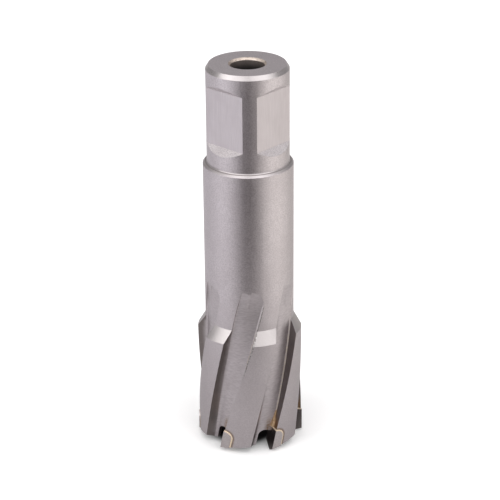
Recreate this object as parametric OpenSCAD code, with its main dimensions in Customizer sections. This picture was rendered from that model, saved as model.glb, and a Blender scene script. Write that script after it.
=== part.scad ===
// Annular cutter with six brazed carbide teeth, standing on its teeth with the shank up.
// The cutter's axis is the Z axis. The tooth crests stand on the plane z = 0.
// The rib between the two drive flats faces -Y. Seen from the shank, the cutter turns clockwise.

/* [Overall] */
// Height from the tooth crests to the end of the shank
cutter_h = 93.7; // [88:0.1:120]
// Cutting diameter over the carbide tips
cut_d = 25; // [24:0.5:34]

/* [Shank] */
// Diameter of the shank
shank_d = 19.05; // [18:0.05:19.5]
// Length of the shank, from its end down to the shoulder's fillet
shank_l = 22.8; // [21.5:0.1:32]
// Radial width of the bevel round the shank's end
shank_bevel_w = 0.64; // [0.2:0.02:1]
// Height of the bevel round the shank's end
shank_bevel_h = 1; // [0.3:0.05:2]
// Depth of each drive flat below the shank's round
flat_depth = 1.74; // [0.8:0.02:2.2]
// Length of each drive flat at its full depth
flat_l = 13.15; // [9:0.05:14.5]
// Distance from the shank's end to the drive flats
flat_end_gap = 4.95; // [4:0.05:6]
// Height of the ramp at each end of a drive flat
flat_ramp_h = 1.5; // [0.6:0.05:2]
// Relief of the shank's round beside the drive flats, clear of burrs that a screw raises
shank_relief = 0.02; // [0.01:0.01:0.05]
// Angle between the two drive flats
flat_spread = 90; // [80:1:180]
// Diameter of the pilot pin's bore
pilot_d = 8; // [5:0.05:9]
// Width of the bevel at the mouth of the pilot bore
pilot_bevel = 0.35; // [0.1:0.05:0.8]

/* [Neck] */
// Depth of the neck below the lands
neck_drop = 1.85; // [1.2:0.05:2.2]
// Bevel at the top edge of the neck
neck_bevel = 0.45; // [0.1:0.05:0.6]
// Fillet between the shank and the shoulder
shoulder_fillet = 0.4; // [0.1:0.05:0.6]

/* [Cutting head] */
// Height of the lands at full diameter
land_h = 28.55; // [20:0.05:34]
// Height of the cone that runs from the lands up to the neck
land_cone_h = 3.05; // [1.5:0.05:5]
// Depth of the hollow that takes the slug
slug_depth = 57; // [48:0.5:64]
// How far the carbide tips reach into the hollow
slug_clear = 0.35; // [0.1:0.05:0.6]

/* [Teeth] */
// Radial width of the cut, from a tip's outer to its inner side
kerf_w = 4.05; // [3.6:0.05:4.6]
// How far the tips stand out of the lands
tip_side_stand = 0.2; // [0.05:0.05:0.4]
// How far the tips stand ahead of the flutes' rake faces
tip_front_stand = 0.15; // [0.05:0.05:0.3]
// Thickness of a tip, from its cutting face to its back
tip_t = 2.2; // [1.6:0.05:3]
// Height of a tip along its lean
tip_h = 5.45; // [4.5:0.05:8]
// Radius of the tip's upper back corner
tip_back_r = 1.4; // [0.4:0.05:1.5]
// Forward lean of a tip from the cutter's axis
tip_lean = 13; // [5:0.5:16]
// Thickness of the braze round a tip
braze_t = 0.3; // [0.1:0.05:0.4]
// Distance from the tip's outer side in to the crest of a pointed tooth
point_in = 1.35; // [0.8:0.05:2]
// Slope outside the crest of a pointed tooth
point_slope = 25.7; // [15:0.1:30]
// Distance from the tip's outer side in to the crest of a broad tooth
broad_in = 2.6; // [2:0.05:3]
// Slope outside the crest of a broad tooth
broad_slope = 15; // [5:0.5:25]
// Slope inside the crest of every tooth
inner_slope = 30; // [10:0.5:32]
// Relief of the tooth's underside behind the cutting edge
relief = 7.5; // [5:0.5:10]
// How far the land's underside is set back from the tip's
land_setback = 0.2; // [0:0.05:0.5]
// Width of the gullet in front of a tip
gullet_w = 3; // [2.4:0.05:3.6]
// Distance from the top of a tip down to the top of its gullet
gullet_drop = 0.85; // [0.3:0.05:1.5]
// Length of the braze bead in the flute's corner above a tip
bead_l = 3.8; // [2:0.1:7]
// Radius of the braze bead at its foot
bead_r = 0.75; // [0.4:0.05:1]
// Angle from the shank's rib to the first tooth
first_tooth = -39; // [-60:0.5:0]

/* [Flutes] */
// Depth of a flute's floor below the lands
flute_depth = 2.4; // [2.1:0.05:2.6]
// Angle of a flute at its foot, from a tip's face to the land before it
flute_open = 25.6; // [22:0.1:28]
// Height in which the rake face's helix makes a full turn
rake_lead = 250; // [230:1:340]
// Height in which the back wall's helix makes a full turn
back_lead = 321; // [270:1:400]
// Draft of the back wall from the radial direction
back_draft = 18; // [0:1:24]
// Rise of the floor at the back wall's fillet
back_rise = 0.4; // [0.1:0.05:0.6]
// Rise of the floor where it sweeps up to the rake face
rake_rise = 0.3; // [0.1:0.05:0.6]
// Bevel in the corner at the foot of the rake face
corner_bevel = 0.2; // [0.05:0.05:0.4]
// Height at which a flute starts to run out
runout_z = 36.15; // [30:0.05:42]
// Radius of the run-out
runout_r = 28; // [10:1:60]
// Drop of each milling pass's end towards the rake face, over a flute's width
end_slant = 2; // [0:0.1:3]
// Angle by which the back wall turns in where the flute runs out
end_turn = 2.8; // [0:0.1:4]

/* [Hidden] */
$fn = 96;
teeth = 6;
// Every third tooth is pointed, and the second is the first of them
tooth_set = 3;
pointed_tooth = 2;
// Angle by which a tooth's underside starts ahead of its cutting edge
underside_lead = 10;
// How far a cut runs past the face it leaves
over = 1.5;
flute_steps = 18;
runout_steps = 7;
// Stations across a flute's floor, from the back wall at 0 to the rake face at 1
back_sweep = 0.12;
rake_sweep = 0.6;
// Two milling passes meet at one station, in a step with a narrow flank
pass_split = 0.38;
pass_flank = 0.008;
floor_stations = [
    0, 0.04, back_sweep, 0.25,
    pass_split - pass_flank, pass_split + pass_flank,
    0.5, rake_sweep, 0.7, 0.8, 0.89, 0.96, 1
];
runout_margin = 0.2;
relief_inset = 0.2;
fillet_share = 0.45;
bevel_share = 0.5;
bead_tip_r = 0.12;

cut_r = cut_d / 2;
land_r = cut_r - tip_side_stand;
neck_r = land_r - neck_drop;
core_r = cut_r - kerf_w;
slug_r = core_r + slug_clear;
floor_r = land_r - flute_depth;
foot_r = floor_r + rake_rise;
shank_r = shank_d / 2;
shank_z = cutter_h - shank_l;
pilot_r = pilot_d / 2;
flat_top_z = cutter_h - flat_end_gap;
flat_foot_z = flat_top_z - flat_l;
relief_top_z = flat_top_z - relief_inset;
relief_foot_z = flat_foot_z + relief_inset;
land_top_z = land_h + land_cone_h;
tooth_pitch = 360 / teeth;

// The fillet and the bevel share the shoulder's width
shoulder_w = neck_r - shank_r;
fillet_r = min(shoulder_fillet, fillet_share * shoulder_w);
bevel_w = min(neck_bevel, bevel_share * shoulder_w);
shoulder_z = shank_z - fillet_r;

// A tip's face leans, so its angle on the cutter grows with height
tip_top_z = (tip_h + braze_t) * cos(tip_lean);
gullet_h = tip_h - gullet_drop;
exit_rise = max(neck_r - floor_r, 0);
exit_l = sqrt(2 * runout_r * exit_rise);
runout_l = sqrt(2 * runout_r * (exit_rise + runout_margin));
tooth_reach = land_r + over;

function arc_angle(length, radius) = length / radius * 180 / PI;
function polar(radius, angle) = [radius * cos(angle), radius * sin(angle)];
function level(points, z) = [for (p = points) [p.x, p.y, z]];

// Distance of a flute's rake face from the tooth's radial plane, just behind the tip's face
function rake_offset(z) = min(z, tip_top_z) * tan(tip_lean) + tip_front_stand;

// Turn of the rake face above the tip, along its own helix
function rake_turn(z) = 360 * max(z - tip_top_z, 0) / rake_lead;

// Angle of the rake face at a radius
function rake_angle(radius, z) = asin(rake_offset(z) / radius) + rake_turn(z);

// Part of the way from the top of the lands to the end of the run-out
function exit_share(z) = max(z - land_top_z, 0) / (runout_z + exit_l - land_top_z);

// Angle of the trailing edge of the land before a flute
function back_angle(z) = 360 * z / back_lead - flute_open + end_turn * pow(exit_share(z), 2);

// A point of the drafted back wall, at a depth below the lands
function back_wall(z, depth) =
    polar(land_r - depth, back_angle(z))
    + polar(depth * tan(back_draft), back_angle(z) + 90);

// Height of the floor above its deepest line, across the flute. The fillet fades as it runs out
function floor_sweep(s, z) =
    back_rise * max(1 - exit_share(z), 0) * pow(max(1 - s / back_sweep, 0), 2)
    + rake_rise * pow(max((s - rake_sweep) / (1 - rake_sweep), 0), 2)
    + (s == 1 ? corner_bevel : 0);

// Each of the two passes across a flute runs out in a line that slants down to the rake face
function pass_drop(s) = end_slant * (s < pass_split ? s : s - pass_split);

// Rise of the floor above the height where the run-out starts
function runout(s, z) = pow(max(z + pass_drop(s) - runout_z, 0), 2) / (2 * runout_r);

// A point of the floor, at a station across the flute
function floor_point(s, z) =
    let (wall = back_wall(z, flute_depth - back_rise))
    let (start = atan2(wall.y, wall.x))
    let (turn = start + s * (rake_angle(foot_r, z) - start))
    polar(floor_r + floor_sweep(s, z) + runout(s, z), turn);

// Outline of a flute at a height, closed outside the lands
function flute_section(z) = concat(
    [back_wall(z, -over)],
    [for (s = floor_stations) floor_point(s, z)],
    [polar(tooth_reach, rake_angle(tooth_reach, z))],
    [polar(tooth_reach, (rake_angle(tooth_reach, z) + back_angle(z)) / 2)]
);

flute_step_h = (runout_z + over) / flute_steps;
flute_levels = concat(
    [for (i = [0 : flute_steps]) -over + i * flute_step_h],
    [for (i = [1 : runout_steps]) runout_z + i * runout_l / runout_steps]
);

// Sections joined by triangles into one closed solid
module loft(levels) {
    sections = [for (z = levels) level(flute_section(z), z)];
    n = len(sections[0]);
    last = len(levels) - 1;
    points = [for (section = sections) each section];
    sides = [
        for (i = [0 : last - 1])
            for (j = [0 : n - 1])
                let (a = i * n + j)
                let (b = i * n + (j + 1) % n)
                each [[a, b, a + n], [b, b + n, a + n]]
    ];
    floor_cap = [for (j = [n - 1 : -1 : 0]) j];
    top_cap = [for (j = [0 : n - 1]) last * n + j];
    polyhedron(points, concat(sides, [floor_cap, top_cap]));
}

// Turns its children from the +X direction to one tooth's place
module at_tooth(number) {
    rotate([0, 0, first_tooth - 90 + (number - 1) * tooth_pitch])
        children();
}

// Leans an outline in the plane of a tip and cuts it out along the radius
module leaning_cut(from_r, to_r) {
    rotate([-tip_lean, 0, 0])
        rotate([90, 0, 90])
            translate([0, 0, from_r])
                linear_extrude(to_r - from_r)
                    children();
}

// Outline of a tip seen along the radius, grown by the braze at its back and top
module tip_outline(grow) {
    t = tip_t + grow;
    h = tip_h + grow;
    r = tip_back_r + grow;
    translate([0, -over])
        square([t, h + over - r]);
    intersection() {
        square([t, h]);
        union() {
            square([t - r, h]);
            translate([t - r, h - r])
                circle(r);
        }
    }
}

// Gullet in front of a tip, round at its far corner and open to the tip's pocket
module gullet_outline() {
    r = gullet_w / 2;
    into = tip_t / 2;
    translate([-gullet_w, -over])
        square([gullet_w + into, gullet_h + over - r]);
    translate([-r, 0])
        square([r + into, gullet_h]);
    translate([-r, gullet_h - r])
        circle(r);
}

// Space below a tooth's underside, which slopes down to a crest from both sides
module below_tooth(number, setback) {
    pointed = number % tooth_set == pointed_tooth;
    crest_r = cut_r - (pointed ? point_in : broad_in);
    outer_slope = pointed ? point_slope : broad_slope;
    inner_r = core_r - over;
    translate([0, 0, setback])
        rotate([relief, 0, 0])
            rotate([0, 0, -underside_lead])
                rotate_extrude(angle = tooth_pitch)
                    polygon([
                        [inner_r, -tip_h],
                        [tooth_reach, -tip_h],
                        [tooth_reach, (tooth_reach - crest_r) * tan(outer_slope)],
                        [crest_r, 0],
                        [inner_r, (crest_r - inner_r) * tan(inner_slope)]
                    ]);
}

// Ring that a tooth's pieces are ground to
module tooth_ring(inner_r, outer_r) {
    difference() {
        translate([0, 0, -over])
            cylinder(r = outer_r, h = tip_h + 2 * over);
        translate([0, 0, -2 * over])
            cylinder(r = inner_r, h = tip_h + 4 * over);
    }
}

// Turned outline of the body from the lands up to the shank's end
module body_outline() {
    difference() {
        polygon([
            [0, 0],
            [land_r, 0],
            [land_r, land_h],
            [neck_r, land_top_z],
            [neck_r, shoulder_z - bevel_w],
            [neck_r - bevel_w, shoulder_z],
            [shank_r + fillet_r, shoulder_z],
            [shank_r + fillet_r, shank_z],
            [shank_r, shank_z],
            [shank_r, relief_foot_z],
            [shank_r - shank_relief, relief_foot_z],
            [shank_r - shank_relief, relief_top_z],
            [shank_r, relief_top_z],
            [shank_r, cutter_h - shank_bevel_h],
            [shank_r - shank_bevel_w, cutter_h],
            [0, cutter_h]
        ]);
        translate([shank_r + fillet_r, shank_z])
            circle(fillet_r);
    }
}

// Slug hollow, pilot bore and the bevel at its mouth
module body_hollow() {
    roof_h = slug_r - pilot_r;
    translate([0, 0, -over])
        cylinder(r = slug_r, h = slug_depth + over);
    translate([0, 0, slug_depth])
        cylinder(r1 = slug_r, r2 = pilot_r, h = roof_h / 2);
    cylinder(r = pilot_r, h = cutter_h + over);
    translate([0, 0, cutter_h - pilot_bevel])
        cylinder(r1 = pilot_r, r2 = pilot_r + pilot_bevel + over, h = pilot_bevel + over);
}

// Drive flat with a ramp at each end, cut from the +X side of the shank
module drive_flat() {
    flat_x = shank_r - flat_depth;
    ramp_slope = flat_ramp_h / flat_depth;
    out = flat_depth + over;
    rotate([90, 0, 0])
        translate([0, 0, -shank_r])
            linear_extrude(shank_d)
                polygon([
                    [flat_x, flat_top_z],
                    [flat_x, flat_foot_z],
                    [flat_x + out, flat_foot_z - out * ramp_slope],
                    [flat_x + out, flat_top_z + out * ramp_slope]
                ]);
}

module cutter_body() {
    color([0.66, 0.63, 0.65])
        difference() {
            rotate_extrude()
                body_outline();
            body_hollow();
            for (side = [-1, 1])
                rotate([0, 0, side * flat_spread / 2 - 90])
                    drive_flat();
            for (number = [1 : teeth])
                at_tooth(number) {
                    loft(flute_levels);
                    leaning_cut(core_r - over, tooth_reach)
                        gullet_outline();
                    leaning_cut(core_r - over, tooth_reach)
                        tip_outline(braze_t);
                    below_tooth(number, land_setback);
                }
        }
}

module carbide_tip(number) {
    color([0.38, 0.36, 0.37])
        at_tooth(number)
            difference() {
                intersection() {
                    leaning_cut(core_r - over, tooth_reach)
                        tip_outline(0);
                    tooth_ring(core_r, cut_r);
                }
                below_tooth(number, 0);
            }
}

// Thin layer of braze behind and above a tip
module braze_layer(number) {
    difference() {
        intersection() {
            leaning_cut(core_r - over, tooth_reach)
                difference() {
                    tip_outline(braze_t);
                    tip_outline(0);
                }
            tooth_ring(slug_r, land_r);
        }
        below_tooth(number, land_setback);
    }
}

// Bead of braze that ran up the corner of the flute above a tip
module braze_bead() {
    foot_z = tip_top_z + bead_r / 2;
    lowest_z = foot_z - bead_r - flute_step_h;
    highest_z = foot_z + bead_l + flute_step_h;
    bead_levels = [for (z = flute_levels) if (z > lowest_z && z < highest_z) z];
    difference() {
        intersection() {
            rotate([0, 0, rake_angle(foot_r, foot_z)])
                translate([foot_r, 0, foot_z])
                    rotate([-tip_lean, 0, 0]) {
                        sphere(bead_r);
                        cylinder(r1 = bead_r, r2 = bead_tip_r, h = bead_l);
                    }
            loft(bead_levels);
        }
        leaning_cut(core_r - over, tooth_reach)
            tip_outline(0);
    }
}

module braze_joint(number) {
    color([0.86, 0.72, 0.52])
        at_tooth(number) {
            braze_layer(number);
            braze_bead();
        }
}

cutter_body();
carbide_tip(1);  // carbide_tip_1
carbide_tip(2);  // carbide_tip_2
carbide_tip(3);  // carbide_tip_3
carbide_tip(4);  // carbide_tip_4
carbide_tip(5);  // carbide_tip_5
carbide_tip(6);  // carbide_tip_6
braze_joint(1);  // braze_joint_1
braze_joint(2);  // braze_joint_2
braze_joint(3);  // braze_joint_3
braze_joint(4);  // braze_joint_4
braze_joint(5);  // braze_joint_5
braze_joint(6);  // braze_joint_6
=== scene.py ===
# %% [markdown]
# # An annular cutter, dressed in Blender
#
# The cutter is a hollow tool: it cuts a ring and leaves a round slug standing in its middle.
# Its solids come from the CAD model, one mesh for the ground steel body, one for each carbide
# tip and one for each braze joint. The shapes are already right, so this lesson is about
# shading: how turned, milled and ground metal can be told apart by its finish alone.

import math

import bpy
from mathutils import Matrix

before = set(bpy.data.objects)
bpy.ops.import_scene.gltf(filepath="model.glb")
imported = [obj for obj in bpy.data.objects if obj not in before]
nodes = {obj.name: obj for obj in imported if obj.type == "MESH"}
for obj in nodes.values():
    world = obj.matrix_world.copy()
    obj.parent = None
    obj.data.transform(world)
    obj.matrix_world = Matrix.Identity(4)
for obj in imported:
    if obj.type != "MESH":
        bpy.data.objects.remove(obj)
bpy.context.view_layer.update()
body = nodes["cutter_body"]
tips = [nodes[name] for name in sorted(nodes) if name.startswith("carbide_tip")]
joints = [nodes[name] for name in sorted(nodes) if name.startswith("braze_joint")]

# %% [markdown]
# ## The camera
#
# The photograph was taken with a long lens from a little above the shank's end. A camera can be
# placed by eye, but the ellipses of the shank and the neck fix the view much better: they give
# the pitch, and the narrowing of the cutter towards its teeth gives the distance.

# %% Place the camera
scene = bpy.context.scene
scene.view_settings.view_transform = "Standard"
lens = bpy.data.cameras.new("long_lens")
lens.sensor_width = 36.0
lens.lens = 135.36
lens.clip_start = 0.01
lens.clip_end = 20.0
camera = bpy.data.objects.new("camera", lens)
camera.location = (-0.017147, -0.400759, 0.228569)
camera.rotation_euler = [math.radians(a) for a in (65.7422, 0.4473, -2.6848)]
scene.collection.objects.link(camera)
scene.camera = camera
print("camera distance in mm:", round(1000 * camera.location.length, 1))

# %% [markdown]
# ## Helpers for node trees
#
# A procedural material is a graph. Writing each link by hand hides the idea behind the wiring,
# so a small helper makes a node, fills its inputs and links whatever is already a socket. Sums
# of numbers and of vectors are nodes too, so they get helpers of their own.

# %% Make nodes in one call
def add(tree, kind, inputs=None, **settings):
    node = tree.nodes.new(kind)
    for name, value in settings.items():
        setattr(node, name, value)
    for key, value in (inputs or {}).items():
        socket = node.inputs[key]
        if isinstance(value, bpy.types.NodeSocket):
            tree.links.new(value, socket)
        else:
            socket.default_value = value
    return node


def sum_up(tree, operation, a, b=0.0, c=0.0):
    return add(tree, "ShaderNodeMath", {0: a, 1: b, 2: c}, operation=operation).outputs[0]


def vector_sum(tree, operation, a, b=(0.0, 0.0, 0.0)):
    node = add(tree, "ShaderNodeVectorMath", {0: a, 1: b}, operation=operation)
    is_number = operation in ("LENGTH", "DISTANCE", "DOT_PRODUCT")
    return node.outputs["Value" if is_number else "Vector"]


def split(tree, vector):
    return add(tree, "ShaderNodeSeparateXYZ", {0: vector}).outputs


print("helpers: nodes and sums")

# %% [markdown]
# A finish is made of soft steps and of mixes of two colours. A soft step is a Map Range with a
# smooth curve, which hides the border between two finishes better than a hard step. Paint lays
# a colour over what is there, as far as a mask allows.

# %% Soft steps and mixes
def ramp(tree, value, low, high, to_low=0.0, to_high=1.0):
    span = {"Value": value, "From Min": low, "From Max": high, "To Min": to_low, "To Max": to_high}
    node = add(tree, "ShaderNodeMapRange", span, interpolation_type="SMOOTHSTEP")
    return node.outputs["Result"]


def opaque(colour):
    return colour if isinstance(colour, bpy.types.NodeSocket) else (*colour, 1.0)


def blend(tree, factor, a, b):
    given = {0: factor, 6: opaque(a), 7: opaque(b)}
    return add(tree, "ShaderNodeMix", given, data_type="RGBA").outputs[2]


def paint(tree, tone, mask, most, colour):
    return blend(tree, ramp(tree, mask, 0.0, 1.0, 0.0, most), tone, colour)


print("helpers: ramps and colours")

# %% [markdown]
# ## The floor
#
# Product photographs stand on white paper that runs out of the picture. A curved sweep could
# be modelled, but the camera looks down and never sees it, so one large square is enough.

# %% Lay the floor
floor_half = 3.0
floor_mesh = bpy.data.meshes.new("studio_floor")
signs = ((-1, -1), (1, -1), (1, 1), (-1, 1))
corners = [(x * floor_half, y * floor_half, 0) for x, y in signs]
floor_mesh.from_pydata(corners, [], [(0, 1, 2, 3)])
floor = bpy.data.objects.new("studio_floor", floor_mesh)
scene.collection.objects.link(floor)
print("floor side in m:", 2 * floor_half)

# %% [markdown]
# Paper is matt and nearly white with a fine fibre, so noise between two whites does the work.
# Hardly any light gets into the hollow, and its gullets look black, so a painted shadow darkens
# the paper there. The painted shadow is set a little to the left, because the left gullet shows
# most of it.

# %% Colour of the paper
def new_material(name):
    material = bpy.data.materials.new(name)
    material.use_nodes = True
    return material, material.node_tree, material.node_tree.nodes["Principled BSDF"]


paper, tree, shader = new_material("white_paper")
place = add(tree, "ShaderNodeTexCoord").outputs["Object"]
fibre = add(tree, "ShaderNodeTexNoise", {"Vector": place, "Scale": 900.0, "Detail": 3.0})
tone = blend(tree, fibre.outputs["Fac"], (0.91, 0.91, 0.91), (0.93, 0.93, 0.93))
# Painted shadow: the paper's colour turns near black round the hollow, centred a little to the
# left.
painted_shadow_centre = (-0.0016, 0.0004, 0.0)
from_painted_shadow = vector_sum(tree, "DISTANCE", place, painted_shadow_centre)
tone = blend(tree, ramp(tree, from_painted_shadow, 0.0066, 0.01), (0.05, 0.047, 0.046), tone)
tree.links.new(tone, shader.inputs["Base Color"])
shader.inputs["Roughness"].default_value = 0.9
shader.inputs["Specular IOR Level"].default_value = 0.1
floor_mesh.materials.append(paper)
print("material:", paper.name)

# %% [markdown]
# A little glow takes the last grey off the paper. Only the lens and the mirror-like metal see
# it, so it lights nothing. It fades out towards the cutter in two steps, and the shadow under
# the teeth stays.

# %% Glow of the paper
near_glow, far_glow, mirrored_share = 0.19, 0.16, 0.4
ray = add(tree, "ShaderNodeLightPath").outputs
mirrored = sum_up(tree, "MAXIMUM", ray["Is Glossy Ray"], ray["Is Transmission Ray"])
mirrored = sum_up(tree, "MULTIPLY", mirrored, mirrored_share)
seen = sum_up(tree, "MAXIMUM", ray["Is Camera Ray"], mirrored)
near = ramp(tree, from_painted_shadow, 0.0064, 0.009, 0.0, near_glow)
far = ramp(tree, vector_sum(tree, "LENGTH", place), 0.014, 0.045, 0.0, far_glow)
glow = sum_up(tree, "MULTIPLY", seen, sum_up(tree, "ADD", near, far))
shader.inputs["Emission Color"].default_value = (1.0, 1.0, 1.0, 1.0)
tree.links.new(glow, shader.inputs["Emission Strength"])
print("glow of the paper:", near_glow + far_glow)

# %% [markdown]
# ## The room
#
# The shank's end is a flat mirror for the room behind the cutter, and the ramps of the flats
# mirror the ceiling. A picture of a studio could stand in for the room, but two greys are
# enough: one for the walls and a paler one for the ceiling, with a soft step between them.

# %% Set the room
room = bpy.data.worlds.new("grey_room")
room.use_nodes = True
tree = room.node_tree
sky_height = split(tree, add(tree, "ShaderNodeTexCoord").outputs["Generated"])["Z"]
wall_grey, ceiling_grey = (0.37, 0.362, 0.366), (0.80, 0.79, 0.79)
tone = blend(tree, ramp(tree, sky_height, 0.45, 0.66), wall_grey, ceiling_grey)
background = tree.nodes["Background"].inputs
tree.links.new(tone, background["Color"])
background["Strength"].default_value = 1.0
scene.world = room
print("room:", room.name)

# %% [markdown]
# ## Light
#
# The bevels and the cones above the lands are the brightest faces in the photograph, and all of
# them look up and towards the lens or to a side. The bevels are a little dimmer in their middle
# than to the left and right, so the main light is two large soft panels above the camera with a
# gap between them. A smaller panel stands on each side, and one overhead fills the paper.

# %% Hang the panels
def soft_panel(name, place, target, width, depth, power):
    data = bpy.data.lights.new(name, "AREA")
    data.shape = "RECTANGLE"
    data.size = width
    data.size_y = depth
    data.energy = power
    panel = bpy.data.objects.new(name, data)
    panel.location = place
    aim = [t - p for t, p in zip(target, place)]
    tilt = math.atan2(math.hypot(aim[0], aim[1]), -aim[2])
    panel.rotation_euler = (tilt, 0.0, math.atan2(-aim[0], aim[1]))
    scene.collection.objects.link(panel)
    return panel


cutter_middle = (0.0, 0.0, 0.05)
panels = [
    soft_panel("panel_above_left", (-0.59, -0.62, 0.80), (-0.59, 0.0, 0.05), 1.0, 1.1, 3.4),
    soft_panel("panel_above_right", (0.59, -0.62, 0.80), (0.59, 0.0, 0.05), 1.0, 1.1, 3.4),
    soft_panel("panel_left", (-1.09, -0.42, 0.62), cutter_middle, 0.85, 0.58, 2.5),
    soft_panel("panel_right", (0.98, -0.48, 0.55), cutter_middle, 0.8, 0.5, 1.2),
    soft_panel("panel_overhead", (0.0, 0.15, 1.2), (0.0, 0.05, 0.0), 1.0, 1.0, 1.0),
]
print("panels:", [panel.name for panel in panels])

# %% [markdown]
# ## The dark cloth
#
# Upright metal seen from above mirrors the floor, not the room. In the photograph the neck is
# dark along its middle and pale at both sides, and the lands are an even grey, so the floor that
# they mirror can't have been plain white: something dark lay in front of the cutter, and a dim
# patch close round it. Photographers lay black cloth for this. Here it is one thin disc just
# above the paper that only reflections see.

# %% Lay the dark cloth
cloth_reach, cloth_lift, cloth_sides = 0.9, 0.0004, 96
unseen_by = ("camera", "diffuse", "shadow", "transmission", "volume_scatter")
turns = [2 * math.pi * i / cloth_sides for i in range(cloth_sides)]
rim = [(cloth_reach * math.cos(t), cloth_reach * math.sin(t), 0.0) for t in turns]
cloth_mesh = bpy.data.meshes.new("dark_cloth")
cloth_mesh.from_pydata(rim, [], [list(range(cloth_sides))])
cloth = bpy.data.objects.new("dark_cloth", cloth_mesh)
cloth.location.z = cloth_lift
scene.collection.objects.link(cloth)
for ray_kind in unseen_by:
    setattr(cloth, "visible_" + ray_kind, False)
print("cloth:", cloth.name, "reach in m:", cloth_reach)

# %% [markdown]
# The neck mirrors the cloth far out, so the cover there changes round the cutter. A ramp of
# greys over the angle draws it. Angles run from the lens to the right, in degrees.

# %% Cover round the cutter
cover_by_turn = {
    -180: 0.36, -104: 0.34, -75: 0.13, -51: 0.20, -30: 0.56, -14: 0.92, 0: 1.0,
    14: 0.92, 30: 0.58, 43: 0.26, 60: 0.0, 79: 0.0, 100: 0.10, 128: 0.38, 180: 0.36,
}
lens_turn = -2.45
felt, tree, shader = new_material("dark_cloth")
tree.nodes.remove(shader)
place = add(tree, "ShaderNodeTexCoord").outputs["Object"]
across = split(tree, place)
toward_lens = sum_up(tree, "MULTIPLY", across["Y"], -1.0)
turn = sum_up(tree, "ARCTAN2", across["X"], toward_lens)
turn = sum_up(tree, "SUBTRACT", turn, math.radians(lens_turn))
turn = sum_up(tree, "MULTIPLY_ADD", turn, 1 / (2 * math.pi), 0.5)
cover_far = add(tree, "ShaderNodeValToRGB", {"Fac": turn})
cover_far.color_ramp.interpolation = "EASE"
stops = cover_far.color_ramp.elements
while len(stops) < len(cover_by_turn):
    stops.new(0.5)
for stop, (angle, cover) in zip(stops, sorted(cover_by_turn.items())):
    stop.position = 0.5 + angle / 360
    stop.color = (cover, cover, cover, 1.0)
print("cover straight in front:", cover_by_turn[0])

# %% [markdown]
# The lands mirror the cloth close by and are an even grey, so the cover there is one value.
# Where the cloth lets light through, it tints it a little: cool on the left, warm on the right.

# %% Cover close to the cutter, and tint
cover_close = 0.46
cool_left, warm_right = (0.96, 0.965, 1.0), (1.0, 0.985, 0.935)
away = ramp(tree, vector_sum(tree, "LENGTH", place), 0.04, 0.125)
cover = blend(tree, away, (cover_close, cover_close, cover_close), cover_far.outputs["Color"])
dark = add(tree, "ShaderNodeEmission", {"Color": (0.035, 0.024, 0.025, 1.0), "Strength": 1.0})
tint = blend(tree, ramp(tree, across["X"], -0.15, 0.15), cool_left, warm_right)
clear = add(tree, "ShaderNodeBsdfTransparent", {"Color": tint})
both = add(tree, "ShaderNodeMixShader", {0: cover, 1: clear.outputs[0], 2: dark.outputs[0]})
tree.links.new(both.outputs[0], tree.nodes["Material Output"].inputs["Surface"])
cloth_mesh.materials.append(felt)
print("cover close by:", cover_close)

# %% [markdown]
# ## Smooth flutes on a faceted mesh
#
# The flutes are lofted, so they arrive as flat triangles, while the turned faces arrive with
# exact normals. Shading everything smooth would bend the light on the long turned faces, so
# only the flat triangles are blended: the exact normals are kept, the rest are averaged
# wherever two triangles meet at less than thirty degrees. A modifier does this without
# touching the mesh.

# %% Helpers for geometry nodes
def store(tree, shape, name, kind, value):
    given = {"Geometry": shape, "Name": name, "Value": value}
    node = add(tree, "GeometryNodeStoreNamedAttribute", given, data_type=kind, domain="CORNER")
    return node.outputs[0]


def recall(tree, name, kind):
    return add(tree, "GeometryNodeInputNamedAttribute", {"Name": name}, data_type=kind).outputs[0]


def compare(tree, value, limit, operation):
    return add(tree, "FunctionNodeCompare", {0: value, 1: limit}, operation=operation).outputs[0]


def on_domain(tree, value, domain):
    node = add(tree, "GeometryNodeFieldOnDomain", {0: value}, data_type="FLOAT", domain=domain)
    return node.outputs[0]


print("helpers: attributes and domains")

# %% [markdown]
# The group works in three moves. It remembers every normal, it welds the corners so that
# neighbours can be averaged, and then it chooses between the two kinds of face.

# %% Blend the normals of the lofted faces
same_normal, all_lofted, weld_gap = 0.99999, 0.98, 1e-6


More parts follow.
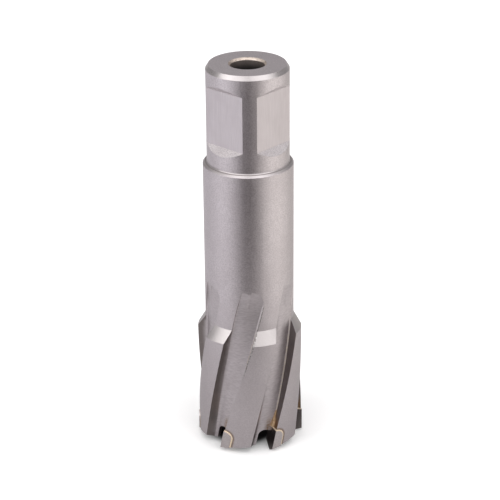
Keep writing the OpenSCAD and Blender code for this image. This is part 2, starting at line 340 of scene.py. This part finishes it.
def blended_normals(limit):
    tree = bpy.data.node_groups.new("blended_normals", "GeometryNodeTree")
    tree.is_modifier = True
    for way in ("INPUT", "OUTPUT"):
        tree.interface.new_socket("Geometry", in_out=way, socket_type="NodeSocketGeometry")
    shape = tree.nodes.new("NodeGroupInput").outputs[0]
    result = tree.nodes.new("NodeGroupOutput").inputs[0]

    # Remember each corner's own normal, and whether it is the flat one of its triangle
    own = add(tree, "GeometryNodeInputNormal").outputs
    same = vector_sum(tree, "DOT_PRODUCT", own["Normal"], own["True Normal"])
    flat = compare(tree, same, same_normal, "GREATER_THAN")
    shape = store(tree, shape, "own_normal", "FLOAT_VECTOR", own["Normal"])
    shape = store(tree, shape, "lofted", "FLOAT", flat)

    # Weld the corners, and keep an edge sharp where it bends or where the two kinds meet
    weld = {"Geometry": shape, "Distance": weld_gap}
    shape = add(tree, "GeometryNodeMergeByDistance", weld).outputs[0]
    lofted_face = on_domain(tree, recall(tree, "lofted", "FLOAT"), "FACE")
    bend = add(tree, "GeometryNodeInputMeshEdgeAngle").outputs["Unsigned Angle"]
    bent = compare(tree, bend, limit, "GREATER_THAN")
    border = compare(tree, on_domain(tree, lofted_face, "EDGE"), all_lofted, "LESS_THAN")
    sharp = add(tree, "FunctionNodeBooleanMath", {0: bent, 1: border}, operation="OR").outputs[0]
    edges = {"Mesh": shape, "Remove Custom": True, "Edge Sharpness": sharp, "Face Sharpness": False}
    shape = add(tree, "GeometryNodeSetMeshNormal", edges, mode="SHARPNESS").outputs[0]

    # Lofted faces take the averaged normals, turned faces get their own back
    mean = add(tree, "GeometryNodeInputNormal").outputs["Normal"]
    kept = recall(tree, "own_normal", "FLOAT_VECTOR")
    whole = compare(tree, lofted_face, all_lofted, "GREATER_THAN")
    pick = add(tree, "GeometryNodeSwitch", {"Switch": whole}, input_type="VECTOR")
    tree.links.new(kept, pick.inputs["False"])
    tree.links.new(mean, pick.inputs["True"])
    final = add(tree, "GeometryNodeSetMeshNormal", mode="FREE", domain="CORNER")
    tree.links.new(shape, final.inputs["Mesh"])
    tree.links.new(pick.outputs[0], final.inputs["Custom Normal"])
    tree.links.new(final.outputs[0], result)
    return tree


smoothing = blended_normals(math.radians(30.0))
for piece in [body] + joints:
    piece.modifiers.new("blended_normals", "NODES").node_group = smoothing
print("smoothed pieces:", 1 + len(joints))

# %% [markdown]
# ## Where on the cutter is this point
#
# Turning, milling and grinding leave marks that follow the tool, so every finish needs to know
# where it is: how far from the axis, how high, and which way the surface faces. The cutter
# stands on the origin, so a few sums on the object coordinates are enough. They go into a
# group, because all the materials use them. Lengths are in millimetres, as on a drawing.

# %% Group: place on the cutter
def new_group(name, inputs, outputs):
    tree = bpy.data.node_groups.new(name, "ShaderNodeTree")
    for label, value in inputs.items():
        kind = "NodeSocketVector" if value is None else "NodeSocketFloat"
        socket = tree.interface.new_socket(label, in_out="INPUT", socket_type=kind)
        if value is not None:
            socket.default_value = value
    for label, kind in outputs.items():
        tree.interface.new_socket(label, in_out="OUTPUT", socket_type="NodeSocket" + kind)
    return tree, tree.nodes.new("NodeGroupInput").outputs, tree.nodes.new("NodeGroupOutput").inputs


def put_out(tree, sockets, results):
    for label, socket in results.items():
        tree.links.new(socket, sockets[label])


def level_with_axis(tree, along):
    return add(tree, "ShaderNodeCombineXYZ", {"X": along["X"], "Y": along["Y"]}).outputs[0]


def place_group():
    numbers = {label: "Float" for label in ("Radius", "Height", "Outward", "Upward")}
    tree, _, out = new_group("place_on_cutter", {}, {"Spot": "Vector", **numbers})
    metres = add(tree, "ShaderNodeTexCoord").outputs["Object"]
    spot = vector_sum(tree, "MULTIPLY", metres, (1000.0, 1000.0, 1000.0))
    along = split(tree, spot)
    level = level_with_axis(tree, along)
    radius = vector_sum(tree, "LENGTH", level)
    facing = add(tree, "ShaderNodeNewGeometry").outputs["Normal"]
    outward = vector_sum(tree, "DOT_PRODUCT", facing, vector_sum(tree, "NORMALIZE", level))
    put_out(tree, out, {"Spot": spot, "Radius": radius, "Height": along["Z"]})
    put_out(tree, out, {"Outward": outward, "Upward": split(tree, facing)["Z"]})
    return tree


place_on_cutter = place_group()
print("group:", place_on_cutter.name)

# %% [markdown]
# ## Tool marks
#
# A grinding wheel leaves fine scratches in one direction, a milling cutter leaves coarser
# waves, and a blasted face has a fine grain with no direction at all. All are noise: squeezed
# across the marks and stretched along them, or not squeezed for the grain. The group takes the
# squeezed position and gives a height for the bump and a streak for colour and gloss.

# %% Group: tool marks
def tool_marks_group():
    kinds = {"Height": "Float", "Streak": "Float"}
    tree, given, out = new_group("tool_marks", {"Along": None, "Coarse": 0.35}, kinds)
    fine = {"Vector": given["Along"], "Scale": 1.0, "Detail": 3.0, "Roughness": 0.65}
    fine = add(tree, "ShaderNodeTexNoise", fine).outputs["Fac"]
    wide = {"Vector": given["Along"], "Scale": 0.17}
    wide = add(tree, "ShaderNodeTexNoise", wide).outputs["Fac"]
    fine_part = sum_up(tree, "MULTIPLY", fine, sum_up(tree, "SUBTRACT", 1.0, given["Coarse"]))
    both = sum_up(tree, "MULTIPLY_ADD", wide, given["Coarse"], fine_part)
    put_out(tree, out, {"Height": both, "Streak": ramp(tree, both, 0.33, 0.67)})
    return tree


tool_marks = tool_marks_group()
print("group:", tool_marks.name)

# %% [markdown]
# ## Handling marks
#
# No tool stays spotless: oil and fingers leave broad patches that are a little duller, and
# small specks between them. They could be painted by hand, but noise of two sizes needs no
# picture and works on every piece.

# %% Group: handling marks
specks_per_patch = 9.0


def handling_group():
    kinds = {"Patch": "Float", "Speck": "Float"}
    tree, given, out = new_group("handling_marks", {"Spot": None, "Size": 9.0}, kinds)
    scale = sum_up(tree, "DIVIDE", 1.0, given["Size"])
    broad = {"Vector": given["Spot"], "Scale": scale, "Detail": 4.0}
    broad = add(tree, "ShaderNodeTexNoise", {**broad, "Roughness": 0.55, "Distortion": 0.6})
    patch = ramp(tree, broad.outputs["Fac"], 0.35, 0.68)
    small_scale = sum_up(tree, "MULTIPLY", scale, specks_per_patch)
    small = {"Vector": given["Spot"], "Scale": small_scale, "Roughness": 0.6}
    small = add(tree, "ShaderNodeTexNoise", small)
    put_out(tree, out, {"Patch": patch, "Speck": ramp(tree, small.outputs["Fac"], 0.6, 0.76)})
    return tree


handling_marks = handling_group()
print("group:", handling_marks.name)

# %% [markdown]
# ## Broken edges
#
# No edge is truly sharp: each is broken by a stone or by handling, so it catches a thin line of
# light. Bevelling the mesh would cost many triangles for so thin a line. The rounded normal of
# the Bevel node gives it too, and its difference from the flat normal gives a mask for the
# bright, worn metal.

# %% Group: broken edges
edge_width = 0.00008


def edge_group():
    kinds = {"Normal": "Vector", "Wear": "Float"}
    tree, given, out = new_group("broken_edges", {"Width": edge_width}, kinds)
    rounded = add(tree, "ShaderNodeBevel", {"Radius": given["Width"]}, samples=6).outputs[0]
    plain = add(tree, "ShaderNodeNewGeometry").outputs["Normal"]
    same = vector_sum(tree, "DOT_PRODUCT", rounded, plain)
    put_out(tree, out, {"Normal": rounded, "Wear": ramp(tree, same, 0.985, 0.86)})
    return tree


broken_edges = edge_group()
print("group:", broken_edges.name, "width in m:", edge_width)

# %% [markdown]
# ## How far from a brazed tip
#
# Brazing leaves its traces round each tip: brown flux along the joint and a heat tint on the
# steel, and the gullets are painted black as painted shade. To place them, a point is turned to
# its nearest tooth and leaned back by the tip's thirteen degrees. There the pocket is a box with
# one round corner, and the distance to it takes a few sums. The group also tells whether a face
# looks forward, the way the cutter turns, because only the cutting faces do.

# %% Group: brazed tip
tooth_turn, tooth_pitch, tip_lean = (math.radians(a) for a in (-9.0, 60.0, 13.0))
corner_back, corner_up, corner_r = 0.8, 4.05, 1.7


def tip_group():
    kinds = {"Gap": "Float", "Back": "Float", "Forward": "Float"}
    tree, given, out = new_group("brazed_tip", {"Spot": None}, kinds)
    along = split(tree, given["Spot"])
    level = level_with_axis(tree, along)

    # Turn to the nearest tooth, then lean back with its tip
    turn = sum_up(tree, "ARCTAN2", along["Y"], along["X"])
    turn = sum_up(tree, "SUBTRACT", turn, tooth_turn)
    turn = sum_up(tree, "WRAP", turn, 0.75 * tooth_pitch, -0.25 * tooth_pitch)
    radius = vector_sum(tree, "LENGTH", level)
    behind = sum_up(tree, "MULTIPLY", radius, sum_up(tree, "SINE", turn))
    back = sum_up(tree, "MULTIPLY", behind, math.cos(tip_lean))
    back = sum_up(tree, "MULTIPLY_ADD", along["Z"], -math.sin(tip_lean), back)
    up = sum_up(tree, "MULTIPLY", behind, math.sin(tip_lean))
    up = sum_up(tree, "MULTIPLY_ADD", along["Z"], math.cos(tip_lean), up)

    # Distance from the pocket with its round corner
    past_back = sum_up(tree, "MAXIMUM", sum_up(tree, "SUBTRACT", back, corner_back), 0.0)
    past_up = sum_up(tree, "MAXIMUM", sum_up(tree, "SUBTRACT", up, corner_up), 0.0)
    past = add(tree, "ShaderNodeCombineXYZ", {"X": past_back, "Y": past_up}).outputs[0]
    gap = sum_up(tree, "SUBTRACT", vector_sum(tree, "LENGTH", past), corner_r)

    # Does the face look the way the cutter turns
    ahead = vector_sum(tree, "CROSS_PRODUCT", level, (0.0, 0.0, 1.0))
    ahead = vector_sum(tree, "NORMALIZE", ahead)
    facing = add(tree, "ShaderNodeNewGeometry").outputs["Normal"]
    forward = vector_sum(tree, "DOT_PRODUCT", facing, ahead)
    put_out(tree, out, {"Gap": gap, "Back": back, "Forward": forward})
    return tree


brazed_tip = tip_group()
print("group:", brazed_tip.name)

# %% [markdown]
# ## The ground steel of the body
#
# The body is one piece of steel with several finishes. The shank, the neck and the lands are
# ground and then lightly blasted, which leaves a fine even grain, and the bevels and cones
# between them are turned bright. The drive flats are ground lengthwise, so they carry faint
# upright streaks, and their ramps keep the coarse arcs of the milling cutter. The flutes are
# milled too: feed marks cross their floors, and the side walls are painted darker and browner as
# painted shade, with the heat of brazing in them near the teeth. One material holds all of this
# and chooses by place, which is easier to keep in step than six materials.

# %% Start the steel
def use(tree, group, inputs=None):
    return add(tree, "ShaderNodeGroup", inputs, node_tree=group).outputs


def all_of(tree, *masks):
    result = masks[0]
    for mask in masks[1:]:
        result = sum_up(tree, "MULTIPLY", result, mask)
    return result


steel, tree, shader = new_material("ground_tool_steel")
here = use(tree, place_on_cutter)
spot, radius, height = here["Spot"], here["Radius"], here["Height"]
outward, upward = here["Outward"], here["Upward"]
print("material:", steel.name)

# %% [markdown]
# Each place is a mask, a product of soft steps in height, radius and facing. The flats lie
# nearer to the axis than the round shank, the ramps are their slanted ends, and the bevels are
# the slanted faces that aren't on a flat.

# %% Places on the shank: flats, ramps, bevels
flats_foot, flats_top, bevels_from = 74.0, 90.3, 70.3
by_flats = all_of(
    tree,
    ramp(tree, height, flats_foot - 0.1, flats_foot),
    ramp(tree, height, flats_top + 0.1, flats_top),
)
on_flat = all_of(tree, by_flats, ramp(tree, radius, 9.5, 9.48), ramp(tree, outward, 0.3, 0.5))
on_ramp = all_of(tree, on_flat, ramp(tree, sum_up(tree, "ABSOLUTE", upward), 0.3, 0.5))
off_flat = sum_up(tree, "SUBTRACT", 1.0, on_flat)
slanted = all_of(tree, ramp(tree, upward, 0.2, 0.4), ramp(tree, upward, 0.98, 0.92))
on_bevel = all_of(tree, slanted, ramp(tree, height, bevels_from - 0.2, bevels_from), off_flat)
print("flats between", flats_foot, "and", flats_top, "mm")

# %% [markdown]
# A thin line of painted shade darkens the corner where the shank meets the shoulder, and the
# mouth of the bore is countersunk.

# %% Places on the shank: corner, bore and its mouth
# Painted shade: a dark line round the corner between the shank and the shoulder.
corner_shade_inside, corner_shade_outside = (9.64, 9.72), (10.03, 9.96)
painted_corner_shade = all_of(
    tree,
    ramp(tree, radius, *corner_shade_inside),
    ramp(tree, radius, *corner_shade_outside),
    ramp(tree, height, 60.0, 61.0),
)
mouth_foot, mouth_r = 93.05, 4.6
mouth = all_of(
    tree,
    ramp(tree, height, mouth_foot, mouth_foot + 0.2),
    ramp(tree, radius, mouth_r, mouth_r - 0.2),
    ramp(tree, outward, -0.3, -0.5),
)
inward = ramp(tree, outward, -0.2, -0.5)
outside = sum_up(tree, "SUBTRACT", 1.0, inward)
in_bore = sum_up(tree, "SUBTRACT", inward, mouth)
print("mouth of the bore from", mouth_foot, "mm up")

# %% [markdown]
# Without its flutes the head would be a round form: a cylinder as wide as the lands, then a
# cone that narrows to the neck. Whatever lies deeper than that form is in a flute, so one mask
# finds all six flutes. Their walls are the faces in it that look sideways.

# %% Places on the cutting head: cones, flutes, walls
land_top, cone_top, land_r, neck_r = 28.55, 31.6, 12.26, 10.42
cones_end, flutes_end = 32.0, 42.8
cone = {"Value": height, "From Min": land_top, "From Max": cone_top}
cone = add(tree, "ShaderNodeMapRange", {**cone, "To Min": land_r, "To Max": neck_r})
depth = sum_up(tree, "SUBTRACT", cone.outputs["Result"], radius)
by_cones = ramp(tree, height, cones_end + 1.0, cones_end)
on_cone = all_of(tree, slanted, ramp(tree, depth, 0.03, 0.01), by_cones)
by_flutes = ramp(tree, height, flutes_end + 0.2, flutes_end)
in_flute = all_of(tree, ramp(tree, depth, 0.0, 0.04), by_flutes, outside)
fading = ramp(tree, height, 35.0, 30.0, 0.45, 1.0)
# Painted shade on the side walls of the flutes, weaker above the cones.
painted_wall_shade = all_of(tree, in_flute, ramp(tree, outward, 0.6, 0.35), fading)
print("flutes up to", flutes_end, "mm")

# %% [markdown]
# Heat and flux mark the steel round each tip. The group for the tips gives the distance from
# the pocket, and soft steps in it place the tint, the stains and the flux. The painted shade of
# the gullets is placed by height.

# %% Places by the teeth: cutting faces, gullets, joints
tip_here = use(tree, brazed_tip, {"Spot": spot})
gap, back, forward = tip_here["Gap"], tip_here["Back"], tip_here["Forward"]
cutting = all_of(tree, in_flute, ramp(tree, forward, 0.35, 0.55))
on_corner = all_of(tree, cutting, ramp(tree, outward, 0.45, 0.6))
gullet_top = 5.4
by_gullets = ramp(tree, height, gullet_top + 0.6, gullet_top)
# Painted shade: the low faces of the gullets that look back are darkened.
painted_gullet_shade = all_of(tree, in_flute, by_gullets, ramp(tree, outward, 0.8, 0.5))
painted_gullet_shade = all_of(tree, painted_gullet_shade, ramp(tree, forward, -0.5, -0.2))
by_joint = all_of(tree, outside, ramp(tree, gap, 0.7, 0.15), ramp(tree, depth, 0.12, 0.05))
tinted = all_of(tree, cutting, ramp(tree, gap, 4.5, 0.5))
stained = all_of(tree, in_flute, ramp(tree, gap, 2.6, 0.3), ramp(tree, back, -2.2, -1.1))
print("places by the teeth: cutting faces, corners, gullets, joints, tint, stains")

# %% [markdown]
# Milling pushes a thin burr over an edge, and the edge of one flute still has it. That edge is a
# helix. Turning each point back by its height makes the edge stand upright, and then the
# distance past it is one sum.

# %% Place of the burr
rake_lead, tip_top, rake_offset = 250.0, 5.6, 1.44
burred_tooth, burr_foot, burr_top = -129.0, 24.0, 37.0
burred_turn = math.radians(burred_tooth) - 2 * math.pi * tip_top / rake_lead
along = split(tree, spot)
turn = sum_up(tree, "ARCTAN2", along["Y"], along["X"])
turn = sum_up(tree, "MULTIPLY_ADD", height, -2 * math.pi / rake_lead, turn)
turn = sum_up(tree, "SUBTRACT", turn, burred_turn)
past_edge = sum_up(tree, "MULTIPLY_ADD", turn, radius, -rake_offset)
on_edge = all_of(tree, ramp(tree, past_edge, 0.0, 0.08), ramp(tree, past_edge, 0.36, 0.26))
on_burr = all_of(
    tree,
    all_of(tree, on_edge, ramp(tree, depth, 0.06, 0.03)),
    ramp(tree, height, burr_foot - 6.0, burr_foot),
    ramp(tree, height, burr_top + 1.5, burr_top),
)
print("burr between", burr_foot, "and", burr_top, "mm")

# %% [markdown]
# ## Marks of each finish
#
# The same group of tool marks gives all the finishes, stretched in other ways: short in every
# direction for the grain, long and upright on the flats, flat and wide for the feed marks. The
# Bevel node would also find the tiny step of the shank's relief, which the photograph doesn't
# show, so the broken edge has no width there. At the bore's mouth it is wide.

# %% Marks and edges of the steel
def stretch(tree, spot, x, y, z):
    return vector_sum(tree, "MULTIPLY", spot, (x, y, z))


grain = use(tree, tool_marks, {"Along": stretch(tree, spot, 3.4, 3.4, 3.8), "Coarse": 0.1})
streaks = use(tree, tool_marks, {"Along": stretch(tree, spot, 7.0, 7.0, 0.22), "Coarse": 0.3})
arcs = use(tree, tool_marks, {"Along": stretch(tree, spot, 3.2, 3.2, 4.6), "Coarse": 0.0})
feed = use(tree, tool_marks, {"Along": stretch(tree, spot, 0.9, 0.9, 4.0), "Coarse": 0.15})
patches = use(tree, handling_marks, {"Spot": spot, "Size": 9.0})
relief_ends = (75.8, 88.55)
mouth_width = 0.0005
to_ends = [sum_up(tree, "ABSOLUTE", sum_up(tree, "SUBTRACT", height, z)) for z in relief_ends]
to_step = sum_up(tree, "MINIMUM", *to_ends)
at_step = all_of(tree, ramp(tree, to_step, 0.3, 0.2), ramp(tree, radius, 9.4, 9.45))
width = ramp(tree, at_step, 0.0, 1.0, edge_width, 0.0)
width = sum_up(tree, "MULTIPLY_ADD", mouth, mouth_width, width)
edges = use(tree, broken_edges, {"Width": width})
print("width of the mouth's edge in m:", mouth_width)

# %% [markdown]
# The masks then choose between the marks, one after another: flats, ramps, flutes, and the
# grain everywhere else. The grain is calmer on the lands, and the bevels have no relief.

# %% Choose the marks by place
def pick(tree, mask, a, b):
    return add(tree, "ShaderNodeMix", {0: mask, 2: a, 3: b}).outputs[0]


def choose(tree, default, flat, ramp_face, flute):
    value = pick(tree, on_flat, default, flat)
    value = pick(tree, on_ramp, value, ramp_face)
    return pick(tree, in_flute, value, flute)


calm = ramp(tree, height, 30.0, 45.0, 0.55, 1.0)
even = sum_up(tree, "SUBTRACT", grain["Streak"], 0.5)
even = sum_up(tree, "MULTIPLY_ADD", even, calm, 0.5)
faint = ramp(tree, streaks["Streak"], 0.0, 1.0, 0.35, 0.68)
low = ramp(tree, feed["Streak"], 0.0, 1.0, 0.2, 0.85)
arc = arcs["Streak"]
streak = choose(tree, even, faint, arc, low)
relief = choose(tree, grain["Height"], streaks["Height"], arcs["Height"], feed["Height"])
relief = pick(tree, on_bevel, relief, 0.5)
print("finishes with marks of their own: grain, flats, ramps, flutes")

# %% [markdown]
# ## Colours of the steel
#
# The colours go on in layers, as they did on the real cutter: the plain grain first, then the
# turned and milled faces, then what heat and flux left, and last the bright worn edges.

# %% Colours of the turned and ground faces
tone = blend(tree, streak, (0.515, 0.468, 0.484), (0.69, 0.637, 0.656))
glitter = blend(tree, arc, (0.62, 0.575, 0.587), (0.86, 0.815, 0.825))
tone = paint(tree, tone, on_ramp, 0.8, glitter)
tone = paint(tree, tone, on_bevel, 0.7, (0.55, 0.52, 0.512))
tone = paint(tree, tone, on_cone, 0.7, (0.50, 0.476, 0.46))
# Painted shade in the corner at the shoulder.
tone = paint(tree, tone, painted_corner_shade, 0.65, (0.25, 0.222, 0.215))
tone = paint(tree, tone, patches["Patch"], 0.2, (0.52, 0.47, 0.48))
print("layers: grain, ramps, bevels, cones, oil, patches")

# %% [markdown]
# The walls of the flutes are painted dark as painted shade. Over them go the traces of brazing,
# the faint brown tint and the stains, then the burr, which is dark with a few bright flecks, a
# painted highlight along the corners of the cutting faces, pale gold lower down, the flux along
# the joints, and the gullets painted black as painted shade.

# %% Colours of the flutes and the teeth
# Painted shade: the side walls of the flutes are darkened.
tone = paint(tree, tone, painted_wall_shade, 0.9, (0.215, 0.186, 0.177))
tone = paint(tree, tone, tinted, 0.6, (0.34, 0.22, 0.13))
stain = all_of(tree, stained, ramp(tree, arc, 0.0, 1.0, 0.25, 0.85))
tone = blend(tree, stain, tone, (0.30, 0.19, 0.11))
burr = blend(tree, ramp(tree, arc, 0.4, 0.75), (0.15, 0.132, 0.127), (0.70, 0.68, 0.67))
tone = paint(tree, tone, on_burr, 0.78, burr)
# Painted highlight: a ragged pale line along the corners of the cutting faces, pale gold lower
# down.
painted_highlight = blend(tree, ramp(tree, height, 34.0, 24.0), (0.50, 0.46, 0.45), (0.72, 0.61, 0.47))
ragged_highlight = all_of(tree, on_corner, ramp(tree, arc, 0.3, 0.7, 0.1, 0.8))
tone = blend(tree, ragged_highlight, tone, painted_highlight)
tone = paint(tree, tone, by_joint, 0.7, (0.27, 0.17, 0.10))
# Painted shade: the gullets are painted near black.
tone = paint(tree, tone, painted_gullet_shade, 0.9, (0.07, 0.058, 0.052))
print("layers: walls, tint, stains, burr, straw corners, flux, soot")

# %% [markdown]
# The bore is dark and a little rusty, and painted black three millimetres down as painted shade,
# where hardly any light gets. Its mouth is a narrow ring of pale gold with brown patches. The
# worn edges go on last.

# %% Colours of the bore and the worn edges
rust_and_shade = blend(tree, patches["Speck"], (0.30, 0.252, 0.232), (0.12, 0.095, 0.08))
bore_top, bore_shade_full = 93.1, 91.0
# Painted shade: darker down the bore, black three millimetres down.
rust_and_shade = blend(tree, ramp(tree, height, bore_top, bore_shade_full), rust_and_shade, (0.02, 0.017, 0.016))
tone = paint(tree, tone, in_bore, 0.9, rust_and_shade)
browned = ramp(tree, feed["Streak"], 0.4, 0.85, 0.0, 0.8)
lip = blend(tree, browned, (0.86, 0.74, 0.64), (0.38, 0.28, 0.21))
tone = paint(tree, tone, mouth, 0.85, lip)
cleaner = ramp(tree, patches["Patch"], 1.0, 0.0, 0.35, 0.7)
worn = all_of(tree, edges["Wear"], cleaner, ramp(tree, mouth, 1.0, 0.0))
tone = blend(tree, worn, tone, (0.76, 0.73, 0.735))
tree.links.new(tone, shader.inputs["Base Color"])
print("layers: bore, mouth, worn edges")

# %% [markdown]
# Gloss follows the same marks: the bore is dull, the bevels are a little glossier, and patches
# of oil dull the rest. The countersink of the bore is narrow, and its shading leans up a
# little so that it catches the light over its whole width.

# %% Gloss and relief of the steel
rough = choose(tree, 0.31, 0.33, 0.36, 0.34)
for mask, change in ((in_bore, 0.22), (on_bevel, -0.04), (streak, 0.07), (patches["Patch"], 0.04)):
    rough = sum_up(tree, "MULTIPLY_ADD", mask, change, rough)
tree.links.new(rough, shader.inputs["Roughness"])
shader.inputs["Metallic"].default_value = 1.0
mouth_lean = 0.6
lean = sum_up(tree, "MULTIPLY", mouth, mouth_lean)
lean = add(tree, "ShaderNodeCombineXYZ", {"Z": lean}).outputs[0]
facing = vector_sum(tree, "ADD", edges["Normal"], lean)
facing = vector_sum(tree, "NORMALIZE", facing)
bump = {"Strength": 0.6, "Distance": 0.00004, "Height": relief, "Normal": facing}
tree.links.new(add(tree, "ShaderNodeBump", bump).outputs[0], shader.inputs["Normal"])
body.data.materials.clear()
body.data.materials.append(steel)
print("material:", steel.name, "on", body.name)

# %% [markdown]
# ## Carbide
#
# The tips are sintered, then ground outside. Fresh ground carbide is a little paler than the
# blasted steel and takes a finer finish, so its marks are closer and its gloss higher. The
# cutting faces look forward into the gullets. They are painted near black, partly the black skin
# of the furnace and partly painted shade.

# %% Material: carbide
tip_edge_width = 0.00005
carbide, tree, shader = new_material("sintered_carbide")
spot = use(tree, place_on_cutter)["Spot"]
marks = use(tree, tool_marks, {"Along": stretch(tree, spot, 3.0, 3.0, 14.0), "Coarse": 0.2})
patches = use(tree, handling_marks, {"Spot": spot, "Size": 2.5})
edges = use(tree, broken_edges, {"Width": tip_edge_width})
forward = use(tree, brazed_tip, {"Spot": spot})["Forward"]
tone = blend(tree, marks["Streak"], (0.60, 0.55, 0.552), (0.70, 0.65, 0.652))
tone = paint(tree, tone, patches["Patch"], 0.25, (0.52, 0.46, 0.445))
# The faces that look forward are painted near black: partly unground skin, partly painted shade.
tone = blend(tree, ramp(tree, forward, 0.5, 0.8, 0.0, 0.92), tone, (0.15, 0.134, 0.128))
tone = paint(tree, tone, edges["Wear"], 0.5, (0.70, 0.67, 0.67))
tree.links.new(tone, shader.inputs["Base Color"])
rough = sum_up(tree, "MULTIPLY_ADD", marks["Streak"], 0.07, 0.27)
tree.links.new(rough, shader.inputs["Roughness"])
shader.inputs["Metallic"].default_value = 1.0
bump = {"Strength": 0.25, "Distance": 0.00001}
bump = {**bump, "Height": marks["Height"], "Normal": edges["Normal"]}
tree.links.new(add(tree, "ShaderNodeBump", bump).outputs[0], shader.inputs["Normal"])
for tip in tips:
    tip.data.materials.clear()
    tip.data.materials.append(carbide)
print("material:", carbide.name, "on", len(tips))

# %% [markdown]
# ## Braze
#
# The tips are held by silver braze, which is pale gold where it is clean. Where it ran out and
# froze it is lumpy, with brown flux left in its hollows.

# %% Material: braze
braze, tree, shader = new_material("silver_braze")
spot = use(tree, place_on_cutter)["Spot"]
gap = use(tree, brazed_tip, {"Spot": spot})["Gap"]
upright = stretch(tree, spot, 1.0, 1.0, 0.35)
patches = use(tree, handling_marks, {"Spot": upright, "Size": 1.1})
clean = blend(tree, patches["Speck"], (1.0, 0.84, 0.64), (0.86, 0.64, 0.42))
frozen = blend(tree, patches["Patch"], (0.68, 0.47, 0.28), (0.22, 0.13, 0.075))
frozen = blend(tree, patches["Speck"], frozen, (0.16, 0.10, 0.065))
tone = blend(tree, ramp(tree, gap, 0.02, 0.12), clean, frozen)
tree.links.new(tone, shader.inputs["Base Color"])
rough = sum_up(tree, "MULTIPLY_ADD", patches["Patch"], 0.18, 0.3)
tree.links.new(rough, shader.inputs["Roughness"])
shader.inputs["Metallic"].default_value = 0.6
lumps = add(tree, "ShaderNodeTexNoise", {"Vector": spot, "Scale": 1.6, "Detail": 3.0})
bump = {"Strength": 0.6, "Distance": 0.0001, "Height": lumps.outputs["Fac"]}
tree.links.new(add(tree, "ShaderNodeBump", bump).outputs[0], shader.inputs["Normal"])
for joint in joints:
    joint.data.materials.clear()
    joint.data.materials.append(braze)
print("material:", braze.name, "on", len(joints))
